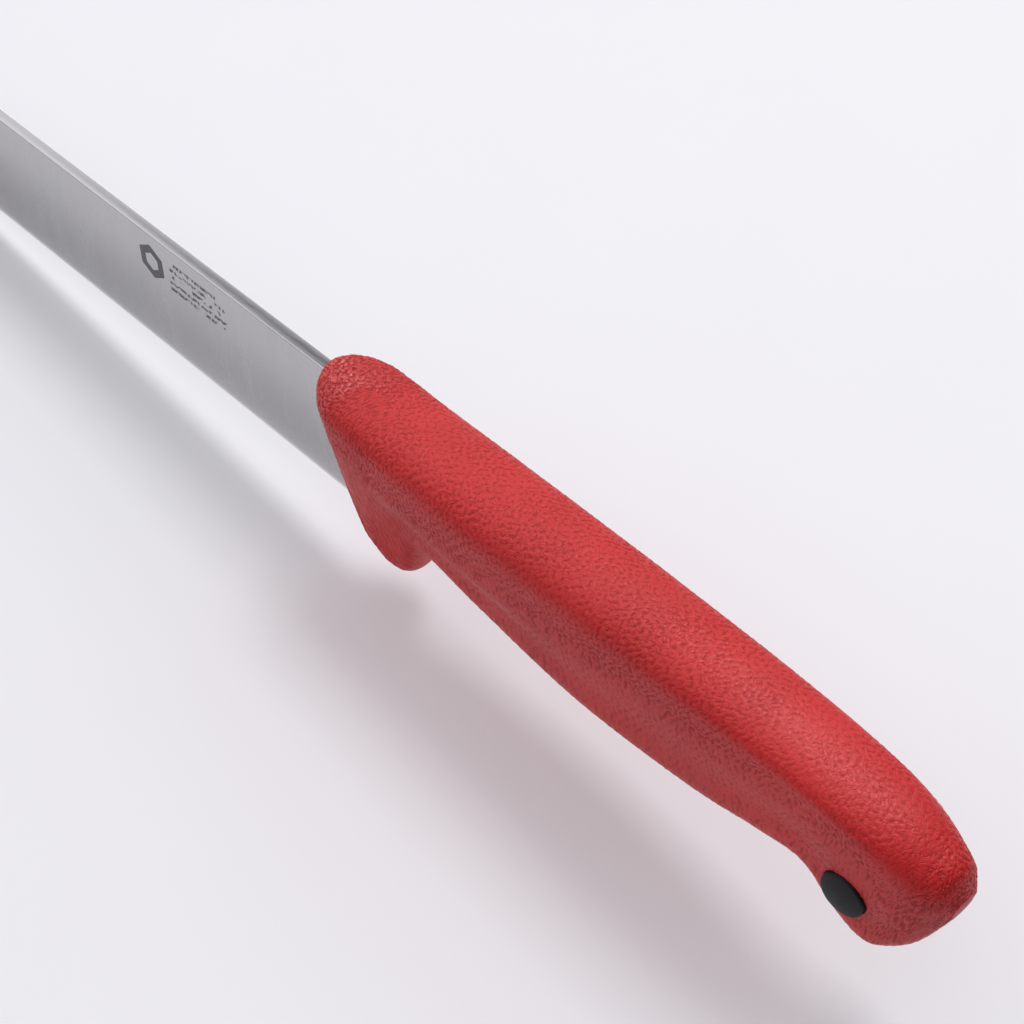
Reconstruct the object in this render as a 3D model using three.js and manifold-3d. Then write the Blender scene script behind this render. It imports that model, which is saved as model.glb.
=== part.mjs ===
// A slicing knife: a ground steel blade whose tang is held in a hard plastic core, under a soft moulded
// grip that is closed near the butt by two round plugs.
// Millimetres, +Z up. The knife stands on its edge: the blade points along -X, the butt along +X,
// and the blade's mid-plane is Y = 0. Working heights are measured from the line of the blade's spine.
import * as THREE from "three";
import { mergeVertices } from "three/addons/utils/BufferGeometryUtils.js";
import Module from "manifold-3d";

// Blade
const BLADE_LENGTH = 200; // from the tip to the front of the handle
const BLADE_HEIGHT = 27.3; // from the spine to the cutting edge
const SPINE_THICKNESS = 2.5; // at the handle
const SPINE_TAPER = 0.0046; // thickness lost per millimetre towards the tip
const FLAT_DRAW = 0.03; // thickness lost per millimetre down the flat of the side
const FLAT_SHARE = 0.45; // part of the height that is flat, above the ground part
const GRIND_FOOT = 0.4; // thickness just above the sharpened edge
const EDGE_THICKNESS = 0.08; // thickness of the cutting edge itself
const EDGE_BEVEL = 0.8; // height of the sharpened edge
const TIP_LENGTH = 62; // length over which the edge sweeps up to the tip
const EDGE_SWEEP = 2.2; // power of that sweep: more is straighter, with a sharper turn at the tip
const TIP_DROP = 7; // how far the tip lies below the spine
const TIP_BLUNT = 0.3; // height of the very point
const TIP_THINNING = 0.16; // most thickness for each millimetre of height, near the tip
const TIP_SPINE_LENGTH = 80; // length over which the spine drops to the tip

// Tang
const HEEL_DEPTH = 5; // how far the full height of the blade runs into the grip
const TANG_TOP = 4; // below the spine
const TANG_HEIGHT = 14;
const TANG_END_ROUND = 5;
const KEY_HOLE_DIAMETER = 7;
const KEY_HOLES = [0.34, 0.58]; // shares of the handle's length

// Handle, on its outside
const HANDLE_LENGTH = 134;
const HANDLE_WIDTH = 17.4; // across the rounded back of the grip
const TOP_RISE = 2.5; // of the back, above the spine
const BELLY_DEPTH = 27.2; // below the spine, at the middle of the belly
const GUARD_DROP = 4.4; // of the finger guard, below the cutting edge
const HOOK_DEPTH = 29.6; // of the butt hook, below the spine
const FRONT_SLANT = 14; // how far the front face leans back from the spine to the guard
const FRONT_LAND = 2.2; // half-width of the flat where the blade enters
const FRONT_BOW = 3; // how far the front face bulges forward at half its height
const FRONT_BOW_STATIONS = 5; // over which the bulge dies out
const CREASE_PULL = 0.45; // how far the crease is drawn in on each side

// Inside of the handle
const GRIP_WALL = 2.5;
const FIT_GAP = 0.3; // between neighbouring pieces
const CORE_FIRST_STATION = 3;
const CORE_LAST_STATION = 14;

// Plugs
const PLUG_DIAMETER = 7.6;
const PLUG_SETBACK = 15.1; // from the butt
const PLUG_DEPTH = 18; // below the spine
const PLUG_PROUD = 0.4; // of the rim
const PLUG_CROWN = 0.5; // of the dome, above the rim
const PLUG_EDGE_ROUND = 0.35;
const SHANK_DIAMETER = 5;
const PIN_DIAMETER = 2.4;
const PIN_LENGTH = 3;
const TANG_PLUG_WALL = 3; // core between the end of the tang and the bore for the plugs

// Fineness of the curved surfaces
const RING_STEPS = 3; // rings from one station of the handle to the next
const ARC_STEPS = 5; // points on each arc of a ring
const TIP_STEPS = 16;
const GRIND_STEPS = 4;
const ROUND_SIDES = 40;
const OUTLINE_SIDES = 8; // on each round stretch of the tang's outline
const TIP_CROWDING = 1.6; // power that gathers the blade's sections near the tip
const BEYOND = 10; // how far a cutting outline runs past what it cuts

// The handle's ribs, from the blade to the butt. Each has its two ends on the mid-plane, as distance from
// the front of the handle and height against the spine, its share of the full half-width, the height of
// the crease, and the half-width at the foot of the side as a share of that of the back.
const rib = (top, bottom, width, crease, foot) => ({ top, bottom, width, crease, foot });
const guardTip = -(BLADE_HEIGHT + GUARD_DROP);
const fromButt = (distance) => HANDLE_LENGTH - distance;
const STATIONS = [
  rib([2, 0.6], [FRONT_SLANT, guardTip + 4.6], 0, -10, 1),
  rib([2.7, 1.7], [FRONT_SLANT + 1.8, guardTip + 2.8], 0.3, -8, 1.1),
  rib([4.6, TOP_RISE + 0.2], [FRONT_SLANT + 4.4, guardTip + 1], 0.6, -6, 0.84),
  rib([8.2, TOP_RISE + 0.3], [FRONT_SLANT + 7.8, guardTip], 0.86, -5.2, 0.68),
  rib([13.5, TOP_RISE], [FRONT_SLANT + 10.4, guardTip + 1.2], 0.94, -5.8, 0.6),
  rib([19.5, TOP_RISE], [FRONT_SLANT + 13.2, -BELLY_DEPTH + 4.1], 0.96, -7, 0.6),
  rib([27, TOP_RISE], [32, -BELLY_DEPTH + 4.8], 0.98, -7.6, 0.64),
  rib([0.31 * HANDLE_LENGTH, TOP_RISE], [0.32 * HANDLE_LENGTH, -BELLY_DEPTH + 3.1], 1, -8, 0.7),
  rib([0.49 * HANDLE_LENGTH, TOP_RISE], [0.49 * HANDLE_LENGTH, -BELLY_DEPTH + 0.4], 0.96, -7.4, 0.78),
  rib([0.66 * HANDLE_LENGTH, TOP_RISE - 0.5], [0.66 * HANDLE_LENGTH, -BELLY_DEPTH + 1.4], 0.89, -6.2, 0.8),
  rib([fromButt(31), TOP_RISE - 1.2], [fromButt(32), -BELLY_DEPTH + 3.8], 0.82, -5.4, 0.8),
  rib([fromButt(23), TOP_RISE - 1.9], [fromButt(23.5), -BELLY_DEPTH + 4.6], 0.78, -5.6, 0.8),
  rib([fromButt(16), TOP_RISE - 2.8], [fromButt(17), -HOOK_DEPTH + 2.2], 0.76, -7, 0.8),
  rib([fromButt(10), TOP_RISE - 3.9], [fromButt(11.5), -HOOK_DEPTH], 0.7, -10, 0.8),
  rib([fromButt(5.6), TOP_RISE - 5.5], [fromButt(6.6), -HOOK_DEPTH + 3.5], 0.61, -14, 0.85),
  rib([fromButt(1.9), TOP_RISE - 7.4], [fromButt(2.8), -HOOK_DEPTH + 8.4], 0.42, -16, 0.9),
  rib([fromButt(0), TOP_RISE - 12.3], [fromButt(0), -HOOK_DEPTH + 16], 0.08, -12.5, 0.9),
];

const wasm = await Module();
wasm.setup();

// ---------------------------------------------------------------- solids

function toSolid(geometry) {
  const bare = geometry.clone();
  bare.deleteAttribute("normal");
  bare.deleteAttribute("uv");
  const merged = mergeVertices(bare, 1e-4);
  return new wasm.Manifold(
    new wasm.Mesh({
      numProp: 3,
      vertProperties: merged.attributes.position.array,
      triVerts: new Uint32Array(merged.index.array),
    }),
  );
}

function toGeometry(solid) {
  const mesh = solid.getMesh();
  return new THREE.BufferGeometry()
    .setAttribute("position", new THREE.BufferAttribute(mesh.vertProperties, 3))
    .setIndex(new THREE.BufferAttribute(mesh.triVerts, 1));
}

// A closed skin over rings of equally many points, with both ends capped from the middle of the ring.
function loft(rings) {
  const count = rings[0].length;
  const points = rings.flat();
  const faces = [];
  for (let i = 0; i + 1 < rings.length; i += 1) {
    for (let j = 0; j < count; j += 1) {
      const a = i * count + j;
      const b = i * count + ((j + 1) % count);
      faces.push(a, a + count, b, b, a + count, b + count);
    }
  }
  const cap = (ring, first, flip) => {
    const middle = ring.reduce((sum, p) => sum.add(p), new THREE.Vector3()).divideScalar(count);
    points.push(middle);
    for (let j = 0; j < count; j += 1) {
      const edge = [first + j, first + ((j + 1) % count)];
      if (flip) edge.reverse();
      faces.push(points.length - 1, ...edge);
    }
  };
  cap(rings[0], 0, false);
  cap(rings[rings.length - 1], (rings.length - 1) * count, true);
  return new THREE.BufferGeometry().setFromPoints(points).setIndex(faces);
}

// A round bar along Y, from one distance off the mid-plane to another.
function crossBar(diameter, from, to, x, z) {
  const bar = new THREE.CylinderGeometry(diameter / 2, diameter / 2, to - from, ROUND_SIDES);
  return toSolid(bar.translate(x, (from + to) / 2, z));
}

// ---------------------------------------------------------------- the handle's outside shape

// The value of a row of numbers at a place between two of them, on a smooth curve through all of them.
function smooth(values, place) {
  const last = values.length - 1;
  const i = Math.min(Math.floor(place), last - 1);
  const f = place - i;
  const [p0, p1, p2, p3] = [i - 1, i, i + 1, i + 2].map((k) => values[Math.min(Math.max(k, 0), last)]);
  const slopeIn = (p2 - p0) / 2;
  const slopeOut = (p3 - p1) / 2;
  const rise = p2 - p1;
  const bend = 3 * rise - 2 * slopeIn - slopeOut;
  const twist = slopeIn + slopeOut - 2 * rise;
  return p1 + f * slopeIn + f * f * bend + f * f * f * twist;
}

const TOP_X = STATIONS.map((s) => s.top[0]);
const TOP_Z = STATIONS.map((s) => s.top[1]);
const BOTTOM_X = STATIONS.map((s) => s.bottom[0]);
const BOTTOM_Z = STATIONS.map((s) => s.bottom[1]);
const CREASE_Z = STATIONS.map((s) => s.crease);
const FOOT_SHARES = STATIONS.map((s) => s.foot);
const HALF_WIDTHS = STATIONS.map((s) => FRONT_LAND + s.width * (HANDLE_WIDTH / 2 - FRONT_LAND));

// One ring of the handle's skin, drawn in by inset: the rounded back, the soft crease, the flatter side and
// the rounded foot. Depths are measured down the rib.
function handleRing(place, inset, shiftX) {
  const top = new THREE.Vector3(smooth(TOP_X, place) + shiftX, 0, smooth(TOP_Z, place));
  const bottom = new THREE.Vector3(smooth(BOTTOM_X, place) + shiftX, 0, smooth(BOTTOM_Z, place));
  const down = bottom.clone().sub(top);
  const height = down.length() - 2 * inset;
  down.normalize();
  top.addScaledVector(down, inset);
  const back = smooth(HALF_WIDTHS, place) - inset;
  const waist = back - CREASE_PULL * Math.min(1, back / HANDLE_WIDTH);
  const foot = back * smooth(FOOT_SHARES, place);
  const crease = Math.min((smooth(CREASE_Z, place) - top.z) / down.z, 0.6 * height);
  const round = Math.min(foot, 0.3 * height);
  const half = new THREE.Path().moveTo(0, 0);
  half.bezierCurveTo(back * 0.55, 0, back, crease * 0.18, back, crease * 0.58);
  half.bezierCurveTo(back, crease * 0.8, waist, crease * 0.86, waist, crease);
  half.bezierCurveTo(waist, crease + round, foot, height - 2 * round, foot, height - round);
  half.bezierCurveTo(foot, height - 0.4 * round, foot * 0.6, height, 0, height);
  const side = half.getPoints(ARC_STEPS);
  const bow = FRONT_BOW * Math.max(0, 1 - place / FRONT_BOW_STATIONS);
  const place3 = (p, sign) => {
    const point = top.clone().addScaledVector(down, p.y).setY(sign * p.x);
    point.x -= bow * Math.sin((Math.PI * p.y) / height);
    return point;
  };
  const right = side.map((p) => place3(p, 1));
  const left = side.slice(1, -1).reverse().map((p) => place3(p, -1));
  return [...right, ...left];
}

function handleRings(from, to, inset, grow) {
  const steps = Math.round((to - from) * RING_STEPS);
  const rings = [];
  for (let i = 0; i <= steps; i += 1) {
    const shiftX = i === 0 ? -grow : i === steps ? grow : 0;
    rings.push(handleRing(from + ((to - from) * i) / steps, inset, shiftX));
  }
  return rings;
}

function handleSolid(from, to, inset, grow) {
  return toSolid(loft(handleRings(from, to, inset, grow)));
}

// ---------------------------------------------------------------- blade and tang

const tangEnd = HANDLE_LENGTH - PLUG_SETBACK - SHANK_DIAMETER / 2 - FIT_GAP - TANG_PLUG_WALL;
const tangBottom = TANG_TOP + TANG_HEIGHT;

function frontFaceX(z) {
  const [front] = STATIONS;
  const share = (front.top[1] - z) / (front.top[1] - front.bottom[1]);
  return front.top[0] + share * (front.bottom[0] - front.top[0]);
}

function spineZ(x) {
  const share = Math.max(0, 1 - (x + BLADE_LENGTH) / TIP_SPINE_LENGTH);
  return -TIP_DROP * share * share;
}

function edgeZ(x) {
  const share = Math.max(0, 1 - (x + BLADE_LENGTH) / TIP_LENGTH);
  return -BLADE_HEIGHT + (BLADE_HEIGHT - TIP_DROP - TIP_BLUNT) * share ** EDGE_SWEEP;
}

// The blade's section: flat sides that meet the spine squarely, then a convex grind down to the edge.
function bladeRing(x, grow) {
  const spine = spineZ(x);
  const edge = edgeZ(x);
  const flatEnd = spine - FLAT_SHARE * (spine - edge);
  const bevelTop = edge + Math.min(EDGE_BEVEL, 0.3 * (spine - edge));
  const flatAt = (z) => (SPINE_THICKNESS + SPINE_TAPER * Math.min(x, 0) + FLAT_DRAW * z) / 2;
  const thin = Math.min(1, (GRIND_FOOT + TIP_THINNING * (spine - edge)) / (2 * flatAt(spine)));
  const side = [
    [flatAt(spine) * thin, spine + grow],
    [flatAt(flatEnd) * thin, flatEnd],
  ];
  const length = flatEnd - bevelTop;
  const foot = (GRIND_FOOT / 2) * thin;
  const drawn = flatAt(flatEnd) * thin - (FLAT_DRAW / 2) * length;
  for (let i = 1; i <= GRIND_STEPS; i += 1) {
    const s = i / GRIND_STEPS;
    const half = flatAt(flatEnd) * thin * (1 - s) + drawn * s + (foot - drawn) * s * s;
    side.push([half, flatEnd - length * s]);
  }
  side.push([EDGE_THICKNESS / 2, edge - grow]);
  const right = side.map(([y, z]) => new THREE.Vector3(x, y + grow, z));
  const left = side.map(([y, z]) => new THREE.Vector3(x, -y - grow, z)).reverse();
  return [...right, ...left];
}

// The outline that turns the back of the blade into a tang, with the holes that the core runs through.
function tangOutline(grow) {
  const far = BLADE_LENGTH + BEYOND;
  const above = BEYOND;
  const below = -BLADE_HEIGHT - BEYOND;
  const top = -TANG_TOP + grow;
  const bottom = -tangBottom - grow;
  const end = tangEnd + grow;
  const shape = new THREE.Shape().moveTo(-far, above);
  shape.lineTo(-far, below).lineTo(frontFaceX(below) + HEEL_DEPTH + grow, below);
  shape.lineTo(frontFaceX(bottom) + HEEL_DEPTH + grow, bottom);
  shape.lineTo(end - TANG_END_ROUND, bottom);
  shape.absarc(end - TANG_END_ROUND, bottom + TANG_END_ROUND, TANG_END_ROUND, -Math.PI / 2, 0);
  shape.absarc(end - TANG_END_ROUND, top - TANG_END_ROUND, TANG_END_ROUND, 0, Math.PI / 2);
  shape.lineTo(frontFaceX(top) + HEEL_DEPTH + grow, top);
  shape.lineTo(frontFaceX(above) + HEEL_DEPTH + grow, above).closePath();
  for (const share of KEY_HOLES) {
    const hole = new THREE.Path();
    hole.absarc(share * HANDLE_LENGTH, (top + bottom) / 2, KEY_HOLE_DIAMETER / 2 - grow, 0, 2 * Math.PI);
    shape.holes.push(hole);
  }
  return shape;
}

function bladeSolid(grow) {
  const stations = [];
  for (let i = 0; i <= TIP_STEPS; i += 1) {
    stations.push(-BLADE_LENGTH + TIP_SPINE_LENGTH * (i / TIP_STEPS) ** TIP_CROWDING);
  }
  stations.push((TIP_SPINE_LENGTH - BLADE_LENGTH) / 2, 0, frontFaceX(-BLADE_HEIGHT), tangEnd + 1);
  const wedge = toSolid(loft(stations.map((x) => bladeRing(x, grow))));
  const depth = 4 * SPINE_THICKNESS;
  const settings = { depth, bevelEnabled: false, curveSegments: OUTLINE_SIDES };
  const slab = new THREE.ExtrudeGeometry(tangOutline(grow), settings);
  return wedge.intersect(toSolid(slab.rotateX(Math.PI / 2).translate(0, depth / 2, 0)));
}

// ---------------------------------------------------------------- handle pieces

const plugX = HANDLE_LENGTH - PLUG_SETBACK;
const shankBore = crossBar(SHANK_DIAMETER + 2 * FIT_GAP, -HANDLE_WIDTH, HANDLE_WIDTH, plugX, -PLUG_DEPTH);
const headBore = crossBar(PLUG_DIAMETER + 2 * FIT_GAP, -HANDLE_WIDTH, HANDLE_WIDTH, plugX, -PLUG_DEPTH);
const lastStation = STATIONS.length - 1;

const outside = handleSolid(0, lastStation, 0, 0);
const coreBody = handleSolid(CORE_FIRST_STATION, CORE_LAST_STATION, GRIP_WALL, 0);
const corePocket = handleSolid(CORE_FIRST_STATION, CORE_LAST_STATION, GRIP_WALL - FIT_GAP, FIT_GAP);
const bladePocket = bladeSolid(FIT_GAP);

function handleCore() {
  return coreBody.subtract(bladePocket).subtract(shankBore);
}

function grip() {
  return outside.subtract(corePocket).subtract(bladePocket).subtract(headBore);
}

// How far the outermost point of a solid, under the plug's head, lies from the mid-plane.
function reachUnderPlug(solid) {
  return solid.intersect(headBore).boundingBox().max[1];
}

// A plug: a domed head in the grip, a shank in the core, and on one side a pin for the other's socket.
function plug(side, hasPin) {
  const seat = reachUnderPlug(coreBody) + FIT_GAP;
  const rim = reachUnderPlug(outside) + PLUG_PROUD;
  const head = PLUG_DIAMETER / 2;
  const shank = SHANK_DIAMETER / 2;
  const pin = PIN_DIAMETER / 2;
  const inner = FIT_GAP / 2;
  const profile = new THREE.Path();
  if (hasPin) {
    profile.moveTo(0, inner - PIN_LENGTH).lineTo(pin, inner - PIN_LENGTH).lineTo(pin, inner);
  } else {
    const socket = pin + FIT_GAP;
    profile.moveTo(0, PIN_LENGTH + FIT_GAP).lineTo(socket, PIN_LENGTH + FIT_GAP).lineTo(socket, inner);
  }
  profile.lineTo(shank, inner).lineTo(shank, seat).lineTo(head, seat).lineTo(head, rim - PLUG_EDGE_ROUND);
  profile.quadraticCurveTo(head, rim, head - PLUG_EDGE_ROUND, rim);
  profile.quadraticCurveTo(head * 0.45, rim + PLUG_CROWN, 0, rim + PLUG_CROWN);
  const turned = new THREE.LatheGeometry(profile.getPoints(ARC_STEPS), ROUND_SIDES);
  if (side < 0) turned.rotateX(Math.PI);
  return toSolid(turned.translate(plugX, 0, -PLUG_DEPTH));
}

// ---------------------------------------------------------------- the assembly

const steel = new THREE.MeshStandardMaterial({ color: 0xb9bcc0, roughness: 0.35, metalness: 1 });
const softRed = new THREE.MeshStandardMaterial({ color: 0xc42b32, roughness: 0.6, metalness: 0 });
const hardBlack = new THREE.MeshStandardMaterial({ color: 0x26282c, roughness: 0.5, metalness: 0 });

function piece(name, solid, material) {
  const mesh = new THREE.Mesh(toGeometry(solid), material);
  mesh.name = name;
  return mesh;
}

// The origin is under the middle of the whole knife, on the level of its lowest point.
const knife = new THREE.Group();
const lowest = Math.min(outside.boundingBox().min[2], -BLADE_HEIGHT);
knife.position.set((BLADE_LENGTH - HANDLE_LENGTH) / 2, 0, -lowest);
knife.add(
  piece("blade", bladeSolid(0), steel),
  piece("handle_core", handleCore(), hardBlack.clone()),
  piece("grip", grip(), softRed),
  piece("plug_left", plug(-1, true), hardBlack.clone()),
  piece("plug_right", plug(1, false), hardBlack.clone()),
);

export default knife;
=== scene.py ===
"""A slicing knife with a moulded grip: its finished blade, grip, plugs and core, and the stage.

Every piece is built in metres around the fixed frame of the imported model, in the frame's own place.
"""

import math
from collections import namedtuple

import bpy
import numpy as np
from bpy.props import FloatProperty, FloatVectorProperty, IntProperty, PointerProperty
from mathutils import Matrix, Vector
from mathutils.kdtree import KDTree


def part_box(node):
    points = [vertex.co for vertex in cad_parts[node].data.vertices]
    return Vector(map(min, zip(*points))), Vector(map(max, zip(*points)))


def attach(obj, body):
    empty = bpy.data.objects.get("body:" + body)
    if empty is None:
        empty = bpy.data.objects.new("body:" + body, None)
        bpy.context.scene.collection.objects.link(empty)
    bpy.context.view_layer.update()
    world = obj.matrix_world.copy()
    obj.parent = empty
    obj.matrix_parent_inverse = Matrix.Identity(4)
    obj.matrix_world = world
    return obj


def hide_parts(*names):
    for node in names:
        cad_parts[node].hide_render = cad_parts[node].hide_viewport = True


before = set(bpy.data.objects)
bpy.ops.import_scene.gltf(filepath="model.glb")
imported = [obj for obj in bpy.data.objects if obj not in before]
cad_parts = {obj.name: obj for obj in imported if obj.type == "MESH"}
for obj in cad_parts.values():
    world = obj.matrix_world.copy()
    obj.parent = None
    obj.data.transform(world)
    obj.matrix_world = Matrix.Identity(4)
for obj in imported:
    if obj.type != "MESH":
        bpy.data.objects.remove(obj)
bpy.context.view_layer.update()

bl_info = {
    "name": "Slicing knife",
    "version": (1, 0, 0),
    "blender": (4, 5, 0),
    "location": "3D View > Sidebar > Knife",
    "description": "Builds the finished pieces of a slicing knife around its packed frame",
    "category": "Add Mesh",
}

MM = 0.001
ROOT = "root"

# Places that come from the frame
BLADE_LOW, BLADE_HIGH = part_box("blade")
GRIP_LOW, GRIP_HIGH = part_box("grip")
PLUG_LOW, PLUG_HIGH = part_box("plug_left")
SPINE_Z = BLADE_HIGH.z
BLADE_HEIGHT = 27.3 * MM  # from the spine to the cutting edge
FIRST_RIB_X = 2 * MM  # from the front of the handle to the top of its first rib
FRONT_X = GRIP_LOW.x - FIRST_RIB_X
BUTT_X = GRIP_HIGH.x
EDGE_Z = SPINE_Z - BLADE_HEIGHT
TIP_X = BLADE_LOW.x
GUARD_Z = GRIP_LOW.z
PLUG_X = (PLUG_LOW.x + PLUG_HIGH.x) / 2
PLUG_Z = (PLUG_LOW.z + PLUG_HIGH.z) / 2
PLUG_RADIUS = (PLUG_HIGH.x - PLUG_LOW.x) / 2
PLUG_CROWN_Y = -PLUG_LOW.y


# ---------------------------------------------------------------- sizes and colours


def length(name, description, default):
    return FloatProperty(name=name, description=description, default=default, unit="LENGTH", precision=5)


def share(name, description, default):
    return FloatProperty(
        name=name, description=description, default=default, min=0, max=1, subtype="FACTOR"
    )


def turn(name, description, degrees):
    return FloatProperty(name=name, description=description, default=math.radians(degrees), subtype="ANGLE")


def colour(name, description, default):
    return FloatVectorProperty(
        name=name, description=description, default=default, size=3, min=0, max=1, subtype="COLOR"
    )


class KnifeGrip(bpy.types.PropertyGroup):
    """Sizes and colours of the moulded grip."""

    width: length("Width", "Across the rounded back of the grip", GRIP_HIGH.y - GRIP_LOW.y)
    rise: length("Rise", "How far the back stands above the spine", 2.5 * MM)
    belly: length("Belly", "Depth of the belly below the spine", 27.2 * MM)
    hook: length("Hook", "Depth of the butt hook below the spine", 29.6 * MM)
    slant: length("Front slant", "How far the front face leans back from spine to guard", 14 * MM)
    land: length("Front land", "Half-width of the flat where the blade enters", 2.2 * MM)
    bow: length("Front bow", "How far the front face bulges forward at half its height", 2.6 * MM)
    crease_pull: length("Crease", "How far the crease is drawn in on each side", 0.45 * MM)
    wall: length("Wall", "Thickness of the soft wall over the core", 2 * MM)
    wrinkle: length("Wrinkle spacing", "From one wrinkle of the leather texture to the next", 1.08 * MM)
    wrinkle_depth: length("Wrinkle depth", "Height of the strongest wrinkles", 0.18 * MM)
    row_spacing: length("Row spacing", "Distance between the mesh's rows along the grip", 0.28 * MM)
    seed: IntProperty(name="Seed", description="Chooses the pattern of wrinkles", default=11)
    red: colour("Red", "Colour of the ridges", (0.63, 0.021, 0.021))
    # painted shade: this darker red is laid into the folds and grooves in place of the shade that falls in
    # them
    fold_shade_red: colour("Deep red", "Colour in the folds", (0.42, 0.01, 0.011))


class KnifeBlade(bpy.types.PropertyGroup):
    """Sizes and colours of the blade."""

    spine: length("Spine", "Thickness of the spine at the handle", 2.5 * MM)
    spine_round: length("Spine rounding", "Radius of the spine's two corners", 0.22 * MM)
    bevel: length("Edge bevel", "Height of the sharpened edge", 0.8 * MM)
    foot: length("Grind foot", "Thickness just above the sharpened edge", 0.4 * MM)
    edge: length("Edge", "Thickness of the cutting edge", 0.06 * MM)
    grain: length("Grain", "Width of the finest grinding lines", 0.1 * MM)
    steel: colour("Steel", "Colour of the satin steel", (0.53, 0.52, 0.53))
    etched: colour("Etching", "Colour of the etched mark", (0.1, 0.098, 0.095))
    mark_x: length("Mark", "From the front of the handle to the near end of the mark", 24 * MM)
    mark_drop: length("Mark drop", "From the spine to the middle of the mark", 6.3 * MM)


class KnifePlugs(bpy.types.PropertyGroup):
    """Sizes and colours of the two plugs and the core."""

    rim_round: length("Rim rounding", "Radius of the head's outer edge", 0.4 * MM)
    crown: length("Crown", "Height of the dome above its rim", 0.5 * MM)
    head: length("Head", "Depth of the head inside the grip", 2.2 * MM)
    shank: length("Shank", "Diameter of the shank in the core", 5 * MM)
    black: colour("Black", "Colour of the hard plastic", (0.007, 0.0075, 0.0095))


class KnifeStage(bpy.types.PropertyGroup):
    """The floor, the lights and the camera."""

    floor: colour("Floor", "Colour of the floor", (0.88, 0.88, 0.91))
    # painted pool of light: the floor is pale close round the knife and painted dim farther out, where the
    # light falls off
    unlit_floor: colour("Far floor", "Colour of the floor far from the knife", (0.2, 0.2, 0.21))
    lit_pool_reach: length("Pale reach", "How far the floor stays pale around the knife", 0.3)
    lift: length("Lift", "How far the guard is held above the floor", 9 * MM)
    lean: turn("Lean", "How much the floor rises towards the tip of the blade", 4)
    room: FloatProperty(
        name="Room light", description="Strength of the light from all round", default=1.45, min=0
    )
    horizon: share("Horizon", "Light from the darkest side, as a share of that from above", 0.04)
    key: FloatProperty(
        name="Key light", description="Power of the large soft light, in watts", default=3.5, min=0
    )
    key_height: turn("Key height", "Angle of the large light above the floor", 68)
    key_side: turn("Key side", "How far the large light stands round from straight behind", -12)
    key_distance: length("Key distance", "From the knife to the large light", 1.1)
    key_size: length("Key size", "Side of the large light", 0.4)
    lens: FloatProperty(name="Lens", description="Focal length, in millimetres", default=71.54, min=10)
    azimuth: turn("Azimuth", "Direction of the camera around the knife", 46.3)
    elevation: turn("Elevation", "Height of the camera above the level", 46.6)
    roll: turn("Roll", "Turn of the camera about its own line of sight", 0.2)
    distance: length("Distance", "From the camera to the point that it aims at", 0.31157)
    aim_x: length("Aim", "From the front of the handle to the point aimed at", 45.285 * MM)
    aim_drop: length("Aim drop", "From the spine down to the point aimed at", 1.46 * MM)


# ---------------------------------------------------------------- meshes


def new_piece(name, vertices, faces):
    """A mesh object whose faces point out, whichever way round they were listed."""
    mesh = bpy.data.meshes.new(name)
    mesh.from_pydata(np.asarray(vertices, float).tolist(), [], faces)
    mesh.update()
    if signed_volume(mesh) < 0:
        mesh.flip_normals()
    piece = bpy.data.objects.new(name, mesh)
    bpy.context.scene.collection.objects.link(piece)
    return piece


def signed_volume(mesh):
    mesh.calc_loop_triangles()
    points = vertex_places(mesh)
    corners = np.empty(len(mesh.loop_triangles) * 3, np.int32)
    mesh.loop_triangles.foreach_get("vertices", corners)
    a, b, c = (points[corners[k::3]] for k in range(3))
    return float(np.einsum("ij,ij->i", a, np.cross(b, c)).sum() / 6)


def vertex_places(mesh):
    places = np.empty(len(mesh.vertices) * 3)
    mesh.vertices.foreach_get("co", places)
    return places.reshape(-1, 3)


def closed_skin(name, rings):
    """A closed skin over rings of equally many points, with a fan of triangles at each end."""
    rings = np.asarray(rings, float)
    count, around = rings.shape[:2]
    start = np.arange(count * around).reshape(count, around)
    after = np.roll(start, -1, axis=1)
    sides = np.stack([start[:-1], start[1:], after[1:], after[:-1]], axis=-1).reshape(-1, 4)
    middle = count * around
    first = [(middle, a, b) for a, b in zip(start[0].tolist(), after[0].tolist())]
    last = [(middle + 1, b, a) for a, b in zip(start[-1].tolist(), after[-1].tolist())]
    ends = np.stack([rings[0].mean(axis=0), rings[-1].mean(axis=0)])
    vertices = np.concatenate([rings.reshape(-1, 3), ends])
    return new_piece(name, vertices, sides.tolist() + first + last)


def prism(name, outline, thickness):
    """A plate with an outline in X and Z, spread evenly to both sides of the knife's mid-plane."""
    rings = [[(x, y, z) for x, z in outline] for y in (-thickness / 2, thickness / 2)]
    return closed_skin(name, rings)


def turned(name, profile, sides, centre, outward):
    """A solid of revolution about a line along Y. The profile lists radius and height, from axis to axis."""
    angles = np.linspace(0, 2 * math.pi, sides, endpoint=False)
    rings = []
    for radius, height in profile[1:-1]:
        x = centre[0] + radius * np.cos(angles)
        z = centre[1] + radius * np.sin(angles)
        rings.append(np.stack([x, np.full(sides, outward * height), z], axis=-1))
    piece = closed_skin(name, rings)
    piece.data.vertices[-2].co.y = outward * profile[0][1]
    piece.data.vertices[-1].co.y = outward * profile[-1][1]
    return piece


def combine(piece, other, operation):
    """Cuts the other solid out of the piece, or keeps what they share, and removes the other."""
    before = signed_volume(piece.data)
    step = piece.modifiers.new(operation.title(), "BOOLEAN")
    step.operation = operation
    step.solver = "MANIFOLD"
    step.object = other
    view = bpy.context.evaluated_depsgraph_get()
    made = bpy.data.meshes.new_from_object(piece.evaluated_get(view))
    piece.modifiers.clear()
    old = piece.data
    name = old.name
    piece.data = made
    bpy.data.meshes.remove(old)
    made.name = name
    bpy.data.objects.remove(other)
    after = signed_volume(made)
    if not 0 < after < before:
        raise RuntimeError(f"{piece.name}: {operation} left {after} of {before}")


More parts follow.
